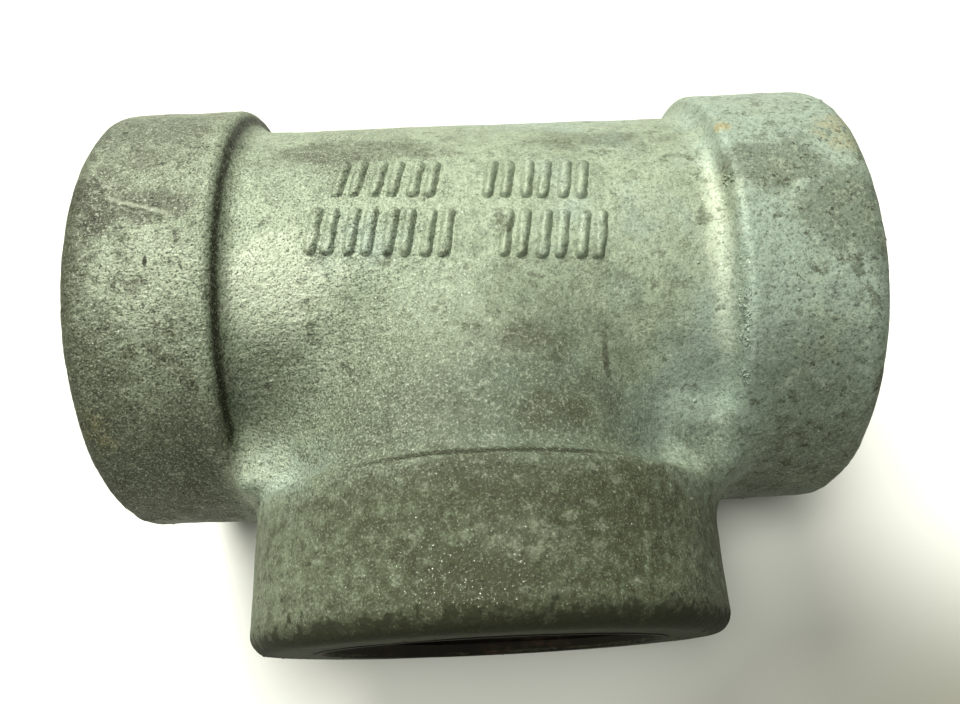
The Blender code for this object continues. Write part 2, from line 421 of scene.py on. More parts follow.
class ZincRecipe:
    """Mixes the galvanised skin's colour and relief, one coat over the other."""

    def __init__(self, finish: GalvanisedFinish, graph: Graph, crossing: Vector, half_run: float) -> None:
        """Read the patterns and find the regions of the casting.

        Args:
            finish: Colours, patterns and places.
            graph: The material's graph.
            crossing: Where the pipe axes cross, in metres.
            half_run: Centre-to-end length in millimetres.
        """
        self.finish, self.graph, self.half_run = finish, graph, half_run
        self.place = from_crossing(graph, crossing)
        self.x, self.y, self.z = graph.split(self.place)
        self.to_left, self.to_mouth = 0.0 - self.x, 0.0 - self.y
        self.mottle, self.blotch, self.pebble, self.grit = (
            pattern.read(graph, self.place) for pattern in (finish.mottle, finish.blotch, finish.pebble, finish.grit))
        self.on_branch = self.past(self.to_mouth, 5.0, *(share * half_run for share in finish.branch_border))
        self.on_left = self.past(self.to_left, 4.0, *(share * half_run for share in finish.left_border))
        self.on_right = self.past(self.x, 4.0, *(share * half_run for share in finish.right_border))
        self.saddle = (self.past(self.to_mouth, 10.0, *finish.saddle_front)
                       * abs(self.x + self.wander(12.0)).ramp(*finish.saddle_side))
        self.left_cheek = self.past(self.to_left, 10.0, *finish.left_cheek)
        self.dark_blotch = self.blotch.ramp(*finish.dark_blotch)
        self.colour = graph.mix(self.mottle.ramp(*finish.patchy), finish.dull_zinc, finish.light_zinc)

    def wander(self, width: float) -> Term:
        """A slow swing, that many millimetres in all, that makes a border wander."""
        return (self.mottle - 0.5) * width

    def past(self, along: Term, width: float, low: float, high: float) -> Term:
        """1 where a length is past a border that wanders."""
        return (along + self.wander(width)).ramp(low, high)

    def coat(self, amount: Term, colour: Triple) -> None:
        """Lay a coat over the colour so far."""
        self.colour = self.graph.mix(amount, self.colour, colour)

    def spots(self, places: tuple[Spot, ...]) -> Term:
        """The strongest of several spots."""
        total, *others = [spot.mask(self.graph, self.place, self.mottle) for spot in places]
        for other in others:
            total = total.at_least(other)
        return total

    def lay_regions(self) -> None:
        """Tint the barrel, the bands and the branch; paint shade on the saddle beside the branch, in spots and on the
        bands' undersides, and paint highlights in two of the pale spots.
        """
        finish = self.finish
        broad = finish.broad.read(self.graph, self.place)
        self.coat((self.x / self.half_run * 0.22 + broad).ramp(*finish.cool_patch) * 0.70, finish.cool_zinc)
        self.coat(self.on_left * 0.60 + self.on_right * 0.05, finish.band_zinc)
        # painted shade: the saddle where the branch's neck meets the barrel is darkened
        self.coat(self.saddle * 0.80, finish.painted_shade_zinc)
        worn = self.mottle.ramp(*finish.worn_patch) * 0.42
        self.coat(self.on_branch * (0.98 - worn - self.left_cheek * 0.22), finish.olive_zinc)
        # painted shade in spots on the barrel, the bands and the right pad
        self.coat(self.spots(finish.painted_shades), finish.painted_shade_zinc)
        # pale worn zinc and painted highlights, in spots
        self.coat(self.spots(finish.pale_and_highlight_spots) * 0.8, finish.ash)
        # painted shade: the bands' undersides, turned away from the light, are darkened with the stain's colour
        on_bands = (self.on_left + self.on_right * 0.70).at_most(1.0)
        self.coat(self.past(self.to_mouth, 8.0, *finish.shaded_underside) * on_bands * 0.85, finish.iron_stain)

    def lay_stains(self) -> None:
        """Stain and spot the skin, most on the branch and the bands."""
        finish, on_branch = self.finish, self.on_branch
        stain = self.spots(finish.stains) * (self.blotch + (self.grit - 0.5) * 0.4).ramp(*finish.stain_edge)
        spread = (self.mottle + on_branch * 0.07 + self.on_left * 0.05).ramp(*finish.stain_spread)
        self.stain = stain.at_least(spread * 0.55)
        self.coat(self.stain, finish.iron_stain)
        self.coat(self.spots(finish.ochres) * self.blotch.ramp(*finish.ochre_edge), finish.ochre)
        self.busy = 0.35 + on_branch * 0.22 + self.on_left * 0.40 + self.on_right * 0.40 + self.stain * 0.4
        self.coat(self.dark_blotch * (self.busy + on_branch * 0.50) * 0.62, finish.iron_stain)
        self.coat(self.blotch.ramp(*finish.branch_dark) * on_branch * (0.60 - self.left_cheek * 0.35),
                  finish.iron_stain)
        self.coat(self.blotch.ramp(*finish.branch_pale) * on_branch * 0.16, finish.dull_zinc)
        self.pale_flecks = 0.30 - on_branch * 0.18
        self.coat(self.blotch.ramp(*finish.pale_blotch) * self.busy * self.pale_flecks, finish.ash)
        self.speck = finish.specks.read(self.graph, self.place).ramp(*finish.speck_edge) * self.busy
        self.coat(self.speck * 0.85, finish.dark_speck)

    def lay_dirt(self) -> None:
        """Darken the rims of the faces, the creases at the shoulders and the hollows: dirt, with painted shade on the
        branch's face and on the shoulders' walls, least on the right wall.
        """
        finish, rim_start = self.finish, self.half_run
        reach = abs(self.x).at_least(self.to_mouth)
        rim = (reach + (self.blotch - 0.5) * 3.0).ramp(rim_start - 3.2, rim_start - 0.9)
        branch_rim = (self.to_mouth + (self.blotch - 0.5) * 9.0).ramp(rim_start - 3.0, rim_start - 1.2)
        from_axis = (self.x * self.x + self.z * self.z).root()
        # dirt on the run's rims, lighter on the right; dirt and painted shade on the branch's face, which is turned
        # away from the light
        self.rim_dirt_and_shade = (rim * (0.58 - self.on_right * 0.33)).at_least(
            branch_rim * (0.70 + from_axis.ramp(*finish.rim_edge) * 0.25))
        self.coat(self.rim_dirt_and_shade, finish.crease_dirt_and_shade)
        # dirt and painted shade in the shoulder creases: darkest on the left wall, turned from the light, lightest on
        # the right
        self.creased = (stored(self.graph, "crease") + (self.blotch - 0.5) * 0.8).ramp(*finish.crease_edge)
        self.coat(self.creased * 0.85, finish.crease_dirt_and_shade)
        hollow = stored(self.graph, "hollow") + (self.mottle - 0.5) * 0.3
        self.coat(hollow.ramp(*finish.hollow_edge) * 0.25, finish.iron_stain)

    def lay_grain(self) -> None:
        """Add the sand's grain, the glints and the scratches."""
        finish, on_branch = self.finish, self.on_branch
        clean = 1 - self.rim_dirt_and_shade
        self.coat(self.pebble.ramp(*finish.pebble_dark) * (0.22 + self.busy * 0.35), finish.iron_stain)
        self.coat(self.pebble.ramp(*finish.pebble_pale) * self.pale_flecks * clean, finish.ash)
        self.coarse = 0.35 + self.past(self.x, 20.0, *finish.coarse_border) * (0.65 - on_branch * 0.60)
        self.coat(self.grit.ramp(*finish.grit_dark) * (0.25 + self.coarse * 0.60), finish.dark_speck)
        pale_grit = 0.12 + self.coarse * 0.35 - on_branch * 0.08
        self.coat(self.grit.ramp(*finish.grit_pale) * pale_grit * clean, finish.ash)
        # glints: bright spots in the colour with lower roughness and more metal, partly bare zinc spangle and partly
        # painted glint
        self.glints = (self.grit + self.spots(finish.glinting) * 0.050).ramp(*finish.glint_edge)
        self.coat(self.glints * clean * 0.65, finish.bare_zinc_glint)
        from_scratch = self.x + finish.scratch_from_centre
        line = abs(self.y + from_scratch * 0.37 - 0.25 + (self.blotch - 0.5) * 1.6)
        self.scratch = line.ramp(0.75, 0.10) * abs(from_scratch).ramp(5.0, 3.0) * (self.z > 0.0)
        self.coat(self.scratch * 0.35, finish.ash)
        self.coat(self.spots(finish.nicks), finish.crease_dirt_and_shade)

    def roughness(self) -> Term:
        """Rougher where it is dirty or specked, smoother on the glints."""
        return (0.56 + self.on_branch * 0.16 + self.saddle * 0.08 + (self.mottle - 0.5) * 0.35
                + self.speck * 0.2 + self.rim_dirt_and_shade * 0.2 - self.glints * 0.22
                + stored(self.graph, "edge") * 0.02).at_most(0.9)

    def metallic(self) -> Term:
        """Less of a metal where the zinc is stained or dirty."""
        return (0.22 - self.on_branch * 0.14 - self.saddle * 0.08 - self.stain * 0.2 - self.speck * 0.3
                - self.creased * 0.3 - self.rim_dirt_and_shade * 0.3 + self.glints * 0.5).at_least(0.02)

    def height(self) -> Term:
        """The fine relief, in millimetres."""
        graph, place = self.graph, self.place
        stretched = graph.vector("MULTIPLY", place, self.finish.wrinkle_stretch)
        wrinkles = graph.noise(stretched, 1.0, 2.0, 0.5, 0.5)
        grain = (self.pebble * 0.20 + wrinkles * 0.13 + self.grit * 0.07) * self.coarse
        return (self.scratch * 0.22 + grain + self.finish.lumps.read(graph, place) * 0.22
                - self.speck * 0.04 - self.dark_blotch * 0.02)


@dataclass(frozen=True)
class CutMetalFinish:
    """Iron cut by a tap: darker than the zinc, lined round the bore and lightly oiled."""

    name: str = "tapped_iron"
    bright: Triple = (0.110, 0.108, 0.088)
    oiled: Triple = (0.022, 0.020, 0.014)
    rust: Triple = (0.060, 0.034, 0.017)
    cloud: Pattern = Pattern(0.22, 4.0, 0.6)
    fine: Pattern = Pattern(3.0, 3.0, 0.6)
    oil_edge: Range = (0.25, 0.95)
    rust_edge: Range = (0.56, 0.74)
    dull_edge: Range = (0.55, 0.75)
    tool_marks: float = 0.04

    def build(self, crossing: Vector) -> Material:
        """Make the material.

        Args:
            crossing: Where the pipe axes cross, in metres.

        Returns:
            The material.
        """
        material, graph, shader = new_material(self.name)
        place = from_crossing(graph, crossing)
        crest = stored(graph, "crest")
        cloud, fine = self.cloud.read(graph, place), self.fine.read(graph, place)
        dry = (crest * 0.75 + (cloud - 0.5) * 0.9).ramp(*self.oil_edge)
        colour = graph.mix(dry, self.oiled, self.bright)
        rusty = cloud.ramp(*self.rust_edge)
        colour = graph.mix(rusty * 0.55, colour, self.rust)
        feed(graph, shader,
             Base_Color=colour,
             Roughness=0.78 - crest * 0.36 + (fine - 0.5) * 0.25 + cloud.ramp(*self.dull_edge) * 0.3,
             Metallic=0.75 - rusty * 0.5,
             Normal=bumped(graph, fine, self.tool_marks * MM))
        return material


# --------------------------------------------------------------------------- mesh helpers


def dress(piece: Piece, slot: Slot) -> Piece:
    """Make a finished piece ride on the tee's body and stand for the casting."""
    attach(piece, BODY)
    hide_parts(CASTING_NODE)
    LOG.info("%s: %d faces", piece.name, len(piece.data.polygons))
    return piece


def mesh_object(name: str, points: Array, faces: Array, material: Material) -> Piece:
    """Make an object from arrays.

    Args:
        name: The object's name.
        points: Vertex positions in metres.
        faces: Quads as vertex numbers.
        material: Its material.

    Returns:
        The object, linked to the scene.
    """
    mesh = bpy.data.meshes.new(name)
    mesh.vertices.add(len(points))
    mesh.vertices.foreach_set("co", points.astype(np.float32).ravel())
    mesh.loops.add(faces.size)
    mesh.loops.foreach_set("vertex_index", faces.astype(np.int32).ravel())
    mesh.polygons.add(len(faces))
    mesh.polygons.foreach_set("loop_start", np.arange(0, faces.size, faces.shape[1], dtype=np.int32))
    mesh.update(calc_edges=True)
    mesh.validate()
    mesh.shade_smooth()
    mesh.materials.append(material)
    piece = bpy.data.objects.new(name, mesh)
    bpy.context.scene.collection.objects.link(piece)
    return piece


def named_inputs(owner: Any, *names: str) -> dict[str, Any]:
    """Some of an object's fields, keyed by the labels that a tree's inputs have."""
    return {name.replace("_", " ").title(): getattr(owner, name) for name in names}


class NodesTool:
    """A Geometry Nodes tree with named inputs, run on a mesh and turned into a plain mesh."""

    KINDS = {float: "NodeSocketFloat", int: "NodeSocketInt", tuple: "NodeSocketVector",
             Material: "NodeSocketMaterial"}

    def __init__(self, name: str, inputs: dict[str, Any]) -> None:
        """Make the tree and its inputs.

        Args:
            name: The tree's name.
            inputs: Value of each named input; its type sets the socket's.
        """
        self.tree = bpy.data.node_groups.new(name, "GeometryNodeTree")
        self.graph = Graph(self.tree)
        self.values = inputs
        face = self.tree.interface
        face.new_socket("Geometry", in_out="INPUT", socket_type="NodeSocketGeometry")
        for label, value in inputs.items():
            kind = next(kind for key, kind in self.KINDS.items() if isinstance(value, key))
            face.new_socket(label, in_out="INPUT", socket_type=kind)
        face.new_socket("Geometry", in_out="OUTPUT", socket_type="NodeSocketGeometry")
        self.source = self.tree.nodes.new("NodeGroupInput")
        self.sink = self.tree.nodes.new("NodeGroupOutput")

    def __getitem__(self, label: str) -> Term:
        """The term of a named input."""
        return Term(self.graph, self.source.outputs[label])

    @property
    def skin(self) -> Term:
        """The geometry that the tree starts from."""
        return Term(self.graph, self.source.outputs[0])

    def placed(self, place: Term) -> Term:
        """A place in millimetres from the crossing, as a position in metres."""
        return self.graph.vector("ADD", self.graph.scaled(place, MM), self["Crossing"])

    def ray_in(self, along: Term, bend: Term, length: float) -> bpy.types.Node:
        """Cast a ray onto the skin, from the clear radius towards the run's axis.

        Args:
            along: Where the ray starts along the run, in millimetres.
            bend: Its angle round the run.
            length: How far it may go, in millimetres.

        Returns:
            The Raycast node.
        """
        graph = self.graph
        clear = graph.join(along, self["Clear Radius"] * bend.sin(), self["Clear Radius"] * bend.cos())
        return graph.raw("GeometryNodeRaycast", {}, {
            "Target Geometry": self.skin, "Source Position": self.placed(clear),
            "Ray Direction": graph.join(0.0, 0 - bend.sin(), 0 - bend.cos()), "Ray Length": length * MM})

    def chance(self, low: Any, high: Any, offset: int = 0) -> Term:
        """A random number for each point, from the tree's seed and an offset."""
        made = self.graph.raw("FunctionNodeRandomValue", {"data_type": "FLOAT"}, {
            2: low, 3: high, "Seed": self["Seed"] + offset})
        return Term(self.graph, made.outputs[1])

    def close(self, geometry: Term) -> None:
        """End the tree: realise what it made and give it its material."""
        real = self.graph.node("GeometryNodeRealizeInstances", {}, {"Geometry": geometry})
        smooth = self.graph.node("GeometryNodeSetShadeSmooth", {}, {"Geometry": real})
        done = self.graph.node("GeometryNodeSetMaterial", {}, {"Geometry": smooth, "Material": self["Material"]})
        self.tree.links.new(done.socket, self.sink.inputs[0])

    def run(self, name: str, base: bpy.types.Mesh | None = None) -> Piece:
        """Evaluate the tree.

        Args:
            name: Name of the piece.
            base: Mesh that the tree starts from, if it needs one.

        Returns:
            A plain mesh object at the origin.
        """
        start = base.copy() if base else bpy.data.meshes.new(name)
        piece = bpy.data.objects.new(name, start)
        bpy.context.scene.collection.objects.link(piece)
        modifier = piece.modifiers.new("shape", "NODES")
        modifier.node_group = self.tree
        labels = {item.name: item.identifier for item in self.tree.interface.items_tree
                  if item.in_out == "INPUT"}
        for label, value in self.values.items():
            modifier[labels[label]] = value
        evaluated = piece.evaluated_get(bpy.context.evaluated_depsgraph_get())
        mesh = bpy.data.meshes.new_from_object(evaluated)
        piece.modifiers.remove(modifier)
        piece.data = mesh
        bpy.data.meshes.remove(start)
        mesh.name = name
        return piece


# --------------------------------------------------------------------------- the casting


def round_max(first: Array, second: Array, radius: float) -> Array:
    """Distances to what two shapes share, with a round edge."""
    over = np.hypot(np.maximum(first + radius, 0), np.maximum(second + radius, 0))
    return np.minimum(np.maximum(first, second), -radius) + over


def soft_min(first: Array, second: Array, reach: Array | float) -> Array:
    """Union of two distance fields with a fillet.

    Args:
        first: Distances to one shape.
        second: Distances to the other.
        reach: How far apart the shapes may be and still blend.

    Returns:
        Distances to the joined shape.
    """
    reach = np.maximum(reach, 1e-6)
    blend = np.clip(0.5 + 0.5 * (second - first) / reach, 0, 1)
    return second + (first - second) * blend - reach * blend * (1 - blend)


def smooth_step(low: float, high: float, value: Array) -> Array:
    """0 below low, 1 above high, smooth between."""
    part = np.clip((value - low) / (high - low), 0, 1)
    return part * part * (3 - 2 * part)


def surface_net(values: Array, origin: Array, step: float) -> tuple[Array, Array]:
    """Turn a sampled distance field into quads.

    Args:
        values: Distances on a regular grid.
        origin: Position of the grid's first sample.
        step: Grid spacing.

    Returns:
        Vertex positions and quads, facing out.
    """
    corners = [(i, j, k) for i in (0, 1) for j in (0, 1) for k in (0, 1)]
    size = np.array(values.shape) - 1

    def corner(at: tuple[int, int, int]) -> Array:
        """The field at one corner of every cell."""
        return values[tuple(slice(a, a + n) for a, n in zip(at, size))]

    inside = sum((corner(at) < 0).astype(np.int8) for at in corners)
    active = (inside > 0) & (inside < len(corners))
    cells = np.argwhere(active)
    sums = np.zeros((len(cells), 3))
    counts = np.zeros(len(cells))
    for start in corners:
        for axis in range(3):
            if start[axis]:
                continue
            end = tuple(a + (n == axis) for n, a in enumerate(start))
            first, second = corner(start)[active], corner(end)[active]
            crossing = (first < 0) != (second < 0)
            share = np.where(crossing, first / np.where(crossing, first - second, 1), 0)
            point = np.array(start, float) + share[:, None] * np.eye(3)[axis]
            sums += point * crossing[:, None]
            counts += crossing
    points = origin + step * (cells + sums / counts[:, None])
    number = np.full(active.shape, -1, np.int64)
    number[active] = np.arange(len(cells))
    quads = []
    below = values < 0
    for axis in range(3):
        u, v = (axis + 1) % 3, (axis + 2) % 3
        low = [slice(1, -1)] * 3
        high = [slice(1, -1)] * 3
        low[axis], high[axis] = slice(0, -1), slice(1, None)
        first, second = below[tuple(low)], below[tuple(high)]
        for enters in (True, False):
            edges = np.argwhere(first & ~second if enters else ~first & second)
            edges[:, [u, v]] += 1
            ring = []
            for du, dv in ((0, 0), (-1, 0), (-1, -1), (0, -1)):
                cell = edges.copy()
                cell[:, u] += du
                cell[:, v] += dv
                ring.append(number[tuple(cell.T)])
            quad = np.stack(ring, axis=1)
            quads.append(quad if enters else quad[:, ::-1])
    return points, np.concatenate(quads)


def wavy(points: Array, size: float, seed: float) -> Array:
    """Smooth noise of about -1 to 1 at each point, in lumps of a size in millimetres."""
    shift = Vector((seed, seed * 1.7, seed * 0.3))
    return np.array([noise.noise(Vector(point) / size + shift) for point in points])


@dataclass
class Made:
    """What every made piece is given: where the axes cross, in metres, and its finish."""

    crossing: Vector
    material: Material


@dataclass
class MadeOnSkin(Made):
    """A piece that stands on the casting's skin."""

    skin: Piece


@dataclass
class Casting(Made):
    """The iron body: a barrel, a branch and three bands, hollow, with a cast skin."""

    half_run: float
    band_radius: float
    band_width: float = 18.0
    barrel_radius: float = 27.6
    neck_radius: float = 27.2
    face_round: float = 2.6
    shoulder_round: float = 1.1
    shoulder_fillet: float = 3.0
    crotch_fillet: float = 11.0
    band_gap_fillet: float = 1.5
    web_centre: Range = (27.2, -26.4)
    web_half_size: Triple = (3.9, 4.1, 14.4)
    web_round: float = 1.7
    web_fillets: Range = (2.6, 6.5)
    channel_radius: float = 21.6
    lip_round: float = 0.5
    grid_step: float = 0.68
    relax_rounds: int = 5
    probe: float = 0.04
    feel: float = 3.0
    # dirt and painted shade on the left, right and branch walls; the right wall faces the light and gets least
    wall_dirt_and_shade: Triple = (0.90, 0.25, 0.90)
    unevenness: tuple[Triple, ...] = ((0.16, 13.0, 3.1), (0.10, 5.5, 8.4), (0.045, 2.3, 1.9))
    seam_height: float = 0.20
    seam_width: float = 0.55
    face_drop: float = 0.06

    def band(self, along: Array, out: Array) -> Array:
        """Distance to an end's thick band, from places along its axis and out from it."""
        outer = round_max(along - self.half_run, out - self.band_radius, self.face_round)
        return round_max(outer, self.half_run - self.band_width - along, self.shoulder_round)

    def outside(self, points: Array) -> Array:
        """Distance to the solid outside shape.

        Args:
            points: Positions in millimetres.

        Returns:
            Signed distances.
        """
        x, y, z = points[..., 0], points[..., 1], points[..., 2]
        run_out = np.hypot(y, z)
        branch_out = np.hypot(x, z)
        inner_end = self.half_run - self.face_round
        barrel = np.maximum(run_out - self.barrel_radius, np.abs(x) - inner_end)
        neck = np.maximum(np.maximum(branch_out - self.neck_radius, -y - inner_end), y)
        facing = z * z / np.maximum(run_out * branch_out, 1e-6)
        stems = soft_min(barrel, neck, self.crotch_fillet * np.clip(1 - facing, 0, 1))
        bands = soft_min(self.band(np.abs(x), run_out), self.band(-y, branch_out), self.band_gap_fillet)
        body = soft_min(bands, stems, self.shoulder_fillet)
        on_top = 0.3 + 0.7 * smooth_step(2.0, 9.0, z)
        return soft_min(body, self.webs(points), np.where(x < 0, *self.web_fillets) * on_top)

    def webs(self, points: Array) -> Array:
        """Distance to the web of metal in each corner between the branch and the run."""
        across, along = self.web_centre
        half = np.array(self.web_half_size) - self.web_round
        offset = np.stack([np.abs(points[..., 0]) - across, points[..., 1] - along, points[..., 2]], axis=-1)
        over = np.abs(offset) - half
        outer = np.linalg.norm(np.maximum(over, 0), axis=-1)
        return outer + np.minimum(over.max(axis=-1), 0) - self.web_round

    def channel(self, points: Array) -> Array:
        """Distance to the T-shaped hollow."""
        x, y, z = points[..., 0], points[..., 1], points[..., 2]
        run = np.hypot(y, z) - self.channel_radius
        branch = np.maximum(np.hypot(x, z) - self.channel_radius + 0.3, y)
        return np.minimum(run, branch)

    def distance(self, points: Array) -> Array:
        """Distance to the metal, negative in the iron."""
        return round_max(self.outside(points), -self.channel(points), self.lip_round)

    def slope(self, points: Array) -> Array:
        """Unit normals of the metal's distance field."""
        steps = np.eye(3) * self.probe
        normal = np.stack([self.distance(points + step) - self.distance(points - step) for step in steps], axis=-1)
        return normal / np.maximum(np.linalg.norm(normal, axis=-1, keepdims=True), 1e-9)

    def relaxed(self, points: Array, quads: Array) -> Array:
        """Even out the vertices and bring them back onto the surface.

        Args:
            points: Vertex positions.
            quads: Faces.

        Returns:
            New positions.
        """
        pairs = np.concatenate([quads[:, [n, (n + 1) % 4]] for n in range(4)])
        degree = np.maximum(np.bincount(pairs[:, 0], minlength=len(points)), 1)
        for _ in range(self.relax_rounds):
            mean = np.stack([np.bincount(pairs[:, 0], points[pairs[:, 1], axis], len(points))
                             for axis in range(3)], axis=1) / degree[:, None]
            points = points + 0.5 * (mean - points)
            for _ in range(2):
                points = points - self.distance(points)[:, None] * self.slope(points)
        return points

    def cast_relief(self, points: Array, normals: Array, hollow: Array, edge: Array) -> Array:
        """How far the sand mould's unevenness moves each point outwards.

        Args:
            points: Positions on the smooth surface.
            normals: Unit normals there.
            hollow: How concave each place is.
            edge: How convex each place is.

        Returns:
            Offsets in millimetres.
        """
        x, y, z = points.T
        relief = sum(height * wavy(points, size, seed) for height, size, seed in self.unevenness)
        rim = smooth_step(self.half_run - 4.5, self.half_run - 0.8, np.maximum(np.abs(x), -y))
        ragged = wavy(points, 2.6, 5.7)
        relief += rim * edge * (0.22 * ragged - 0.45 * smooth_step(0.25, 0.6, ragged))
        seam_width = self.seam_width + 0.2 * wavy(points, 6.0, 2.2)
        seam = np.exp(-(z / seam_width) ** 2) * smooth_step(-0.25, 0.35, wavy(points, 9.0, 6.6))
        relief += self.seam_height * seam * (1 - hollow)
        flat_face = smooth_step(0.90, 0.99, np.maximum(np.abs(normals[:, 0]), -normals[:, 1]))
        on_face = flat_face * smooth_step(self.half_run - 1.0, self.half_run - 0.4, np.maximum(np.abs(x), -y))
        relief = relief * (1 - 0.75 * on_face) - self.face_drop * on_face
        on_outside = smooth_step(-1.5, -0.2, self.outside(points))
        return relief * (0.35 + 0.65 * on_outside)

    def shoulder_walls(self, points: Array, normals: Array) -> Array:
        """How much dirt and painted shade each place takes on the inner walls of the left, right and branch bands.

        Args:
            points: Positions on the surface.
            normals: Unit normals there.

        Returns:
            0 to 1, 1 on the darkest wall.
        """
        near = self.half_run - self.band_width - self.shoulder_fillet
        walls = ((-points[:, 0], normals[:, 0]), (points[:, 0], -normals[:, 0]), (-points[:, 1], normals[:, 1] * 1.3))
        middle = 1 - smooth_step(8.0, 24.0, np.abs(points[:, 0]))
        dirt = np.zeros(len(points))
        for (along, inward), amount in zip(walls, (*self.wall_dirt_and_shade[:2], self.wall_dirt_and_shade[2] * middle)):
            on_wall = smooth_step(near, near + 1.5, along) * smooth_step(0.62, 0.97, inward)
            dirt = np.maximum(dirt, on_wall * amount)
        return dirt * (self.outside(points) > -1.0)

    def build(self) -> Piece:
        """Make the casting as one closed mesh.

        Returns:
            The casting, with its hollows, creases, edges and outside stored on it.
        """
        margin = 2 * self.grid_step
        low = np.array([-self.half_run, -self.half_run, -self.band_radius]) - margin
        high = np.array([self.half_run, self.band_radius, self.band_radius]) + margin
        axes = [np.arange(a, b + self.grid_step, self.grid_step) for a, b in zip(low, high)]
        field_values = self.distance(np.stack(np.meshgrid(*axes, indexing="ij"), axis=-1))
        points, quads = surface_net(field_values, low, self.grid_step)
        points = self.relaxed(points, quads)
        normals = self.slope(points)
        hollow = np.clip(1 - self.distance(points + self.feel * normals) / self.feel, 0, 1)
        crease = self.shoulder_walls(points, normals)
        edge = np.clip(1 + self.distance(points - self.feel * normals) / self.feel, 0, 1)
        outside = self.outside(points) > -1.0
        points = points + self.cast_relief(points, normals, hollow, edge)[:, None] * normals
        piece = mesh_object("casting", points * MM + np.array(self.crossing), quads, self.material)
        for name, values in (("hollow", hollow), ("crease", crease), ("edge", edge), ("outside", outside)):
            attribute = piece.data.attributes.new(name, "FLOAT", "POINT")
            attribute.data.foreach_set("value", values.astype(np.float32))
        return dress(piece, Slot.SKIN)


# --------------------------------------------------------------------------- threads


@dataclass
class TappedMouth(Made):
    """The tapped inside of one end: mouth chamfer, taper thread and the bore behind it."""

    end: End
    face: float
    pitch: float = 25.4 / 11.5
    depth_in_pitches: float = 0.76
    pitch_radius: float = 1.5571 / 2 * 25.4
    taper: float = 1 / 32
    length: float = 21.3
    mouth_radius: float = 21.8
    channel_radius: float = 21.9
    seat_radius: float = 22.6
    proud: float = 0.06
    steps_round: int = 132
    rows_per_pitch: int = 10
    crest_flat: float = 0.09
    closing_rows: int = 4
    faint_end: float = 0.35
    fade_pitches: float = 1.6
    crest_start: Range = (1.0, 3.0)
    weld: float = 0.004
    sharp_angle: float = 38.0

    def inputs(self) -> dict[str, Any]:
        """Values of the tree's named inputs."""
        reach = self.length + self.channel_radius - self.pitch_radius + self.pitch
        rows = (math.ceil(reach / self.pitch) + 1) * self.rows_per_pitch
        seat = self.crossing + self.end.direction * (self.face + self.proud) * MM
        return named_inputs(
            self, "pitch", "pitch_radius", "taper", "length", "mouth_radius", "channel_radius", "seat_radius",
            "crest_flat", "steps_round", "rows_per_pitch") | {
            "Depth": self.depth_in_pitches * self.pitch, "Reach": reach, "Rows": rows,
            "Turn": tuple(self.end.turn), "Seat": tuple(seat), "Material": self.material}

    def build(self) -> Piece:
        """Make the threaded mouth.

        Returns:
            The mouth as one closed sleeve.
        """
        tool = NodesTool("taper_thread", self.inputs())
        graph = tool.graph
        rows = tool["Rows"]
        sheet = graph.raw("GeometryNodeMeshGrid", {}, {
            "Vertices X": tool["Steps Round"] + 1, "Vertices Y": rows + self.closing_rows})
        index = graph.node("GeometryNodeInputIndex")
        column = (index / (rows + self.closing_rows) + 1e-4).floor()
        row = index - column * (rows + self.closing_rows)
        turn = column / tool["Steps Round"]
        angle = turn * math.tau
        phase = (row / tool["Rows Per Pitch"] + 1e-4).fraction()
        rise = tool["Pitch"] * (row / tool["Rows Per Pitch"] + turn - 1)
        depth_in = (rise - tool["Reach"]).at_most(0).at_least(0 - tool["Reach"])
        tooth = 1 - abs(phase * 2 - 1)
        tooth = ((tooth - tool["Crest Flat"]) / (1 - 2 * tool["Crest Flat"])).at_least(0).at_most(1)
        fade = (depth_in + tool["Length"]).ramp(0, tool["Pitch"] * self.fade_pitches)
        pitch_line = tool["Pitch Radius"] + depth_in * tool["Taper"]
        thread = pitch_line + tool["Depth"] * (0.5 - tooth) * (self.faint_end + (1 - self.faint_end) * fade)
        chamfer = tool["Mouth Radius"] + depth_in
        flare = tool["Channel Radius"] - (depth_in + tool["Reach"])
        bore = thread.at_least(chamfer).at_least(flare)

        outer_top = (row > rows + 0.5) * (row < rows + 1.5)
        outer_low = (row > rows + 1.5) * (row < rows + 2.5)
        closing = row > rows + 2.5
        outer = outer_top + outer_low
        radius = bore * (1 - outer - closing) + tool["Seat Radius"] * outer + tool["Channel Radius"] * closing
        height = depth_in * (1 - outer - closing) - tool["Reach"] * (outer_low + closing)
        place = graph.join(radius * angle.cos(), radius * angle.sin(), height)
        shaped = graph.node("GeometryNodeSetPosition", {}, {
            "Geometry": Term(graph, sheet.outputs["Mesh"]), "Position": graph.scaled(place, MM)})
        past_mouth = (0 - depth_in).ramp(*self.crest_start)
        crest = graph.node("GeometryNodeStoreNamedAttribute", {"data_type": "FLOAT", "domain": "POINT"}, {
            "Geometry": shaped, "Name": "crest", "Value": tooth * past_mouth * (1 - outer - closing)})
        merged = graph.node("GeometryNodeMergeByDistance", {}, {"Geometry": crest, "Distance": self.weld * MM})
        tool.close(graph.node("GeometryNodeTransform", {}, {
            "Geometry": merged, "Translation": tool["Seat"], "Rotation": tool["Turn"]}))
        piece = tool.run(f"thread_{self.end.label}")
        face_out(piece.data)
        piece.data.set_sharp_from_angle(angle=math.radians(self.sharp_angle))
        return dress(piece, Slot.THREAD)


def face_out(mesh: bpy.types.Mesh) -> None:
    """Drop collapsed faces and make the rest face out of the closed shape."""
    shape = bmesh.new()
    shape.from_mesh(mesh)
    bmesh.ops.dissolve_degenerate(shape, dist=1e-6, edges=shape.edges)
    bmesh.ops.recalc_face_normals(shape, faces=shape.faces)
    shape.to_mesh(mesh)
    shape.free()


# --------------------------------------------------------------------------- foundry marks


